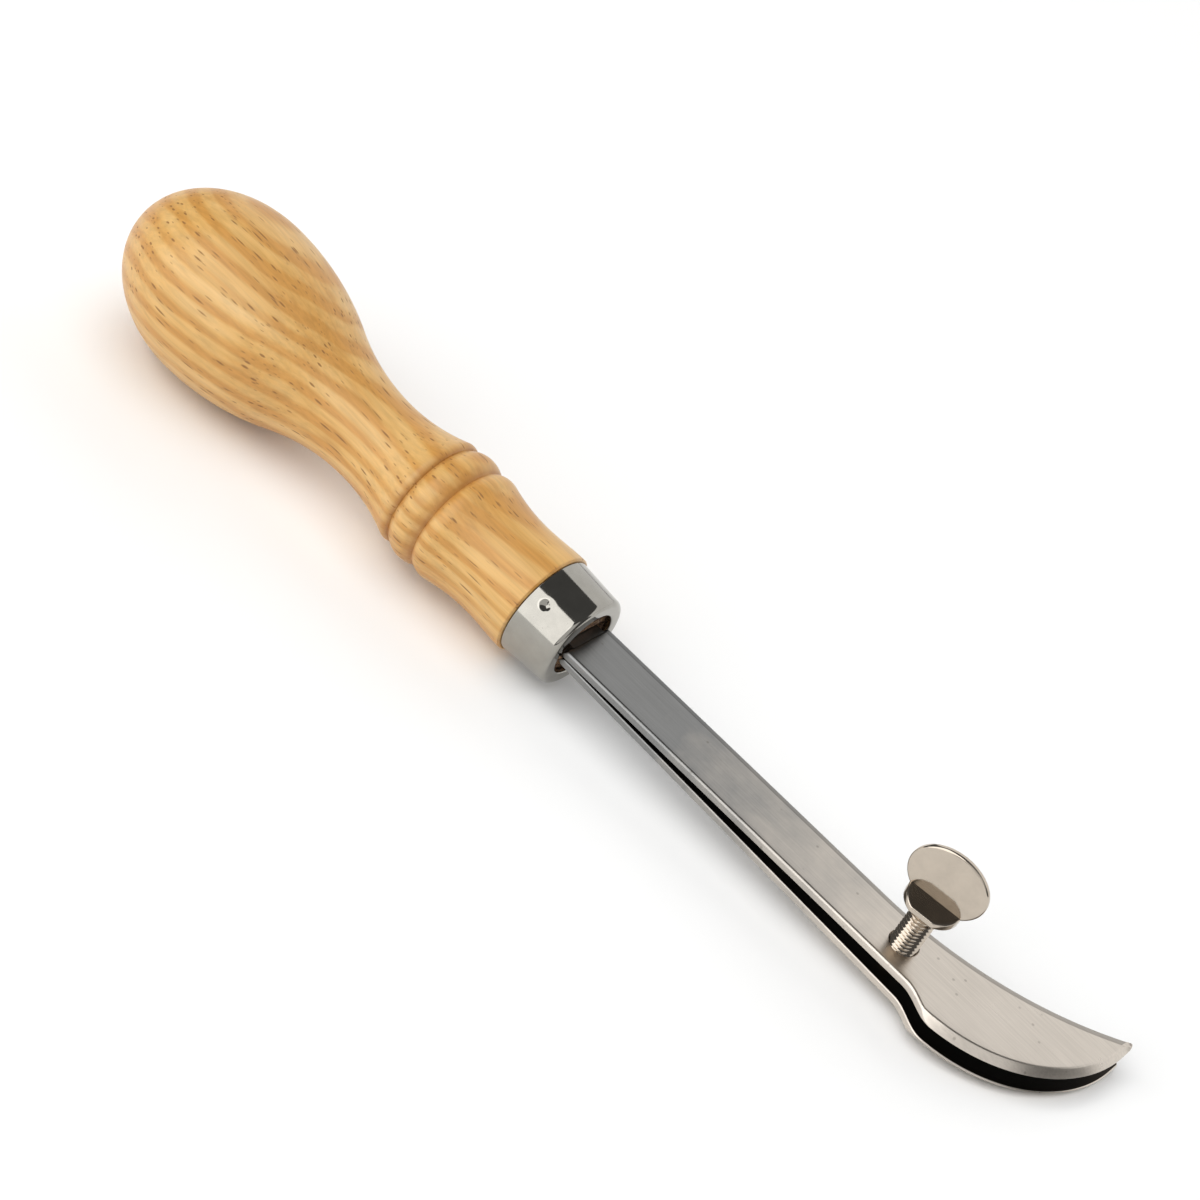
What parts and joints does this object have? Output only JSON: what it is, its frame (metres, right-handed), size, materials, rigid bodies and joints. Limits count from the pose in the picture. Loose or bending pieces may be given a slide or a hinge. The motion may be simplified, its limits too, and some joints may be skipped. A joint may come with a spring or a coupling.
{
  "type": "adjustable screw creaser",
  "caption": "Hand tool with a turned wooden bulb handle, a metal ferrule and two curved steel leaves whose gap is set by a thumb screw.",
  "frame": {"origin": "middle of the tool's bounding box seen from above, at the lowest point of the bulb", "axes": "+X along the handle's axis towards the tip, +Y to the side that the leaves curve to, +Z to the side of the thumb screw"},
  "size_m": [0.2176, 0.037, 0.0407],
  "materials": {
    "handle_wood": "clear satin varnish",
    "ferrule_nickel": "polished nickel plate",
    "leaf_steel": "satin, lightly brushed along the leaf",
    "screw_nickel": "bright nickel plate"
  },
  "bodies": {
    "grip": {"handle": "handle_wood", "ferrule": "ferrule_nickel", "upper_tang": "leaf_steel", "lower_tang": "leaf_steel"},
    "upper_leaf": {"upper_leaf": "leaf_steel"},
    "lower_leaf": {"lower_leaf": "leaf_steel"},
    "thumb_screw": {"thumb_screw": "screw_nickel"}
  },
  "joints": [
    {"name": "upper_leaf_flex", "type": "hinge", "parent": "grip", "child": "upper_leaf", "pos_m": [0.00255, -0.00203, 0.01736], "axis": [0, -1, 0], "range_deg": [-0.8, 0.96]},
    {"name": "lower_leaf_flex", "type": "hinge", "parent": "grip", "child": "lower_leaf", "pos_m": [0.00255, -0.00203, 0.01564], "axis": [0, 1, 0], "range_deg": [-0.85, 1]},
    {"name": "screw_turn", "type": "hinge", "parent": "lower_leaf", "child": "thumb_screw", "pos_m": [0.07364, -0.00203, 0.01855], "axis": [0.0167, 0, -0.9999], "range_deg": [-900, 1080]}
  ],
  "couplings": [
    {"joint": "lower_leaf_flex", "follows": "upper_leaf_flex", "ratio": 1},
    {"joint": "screw_turn", "follows": "upper_leaf_flex", "ratio": 1116.7}
  ]
}
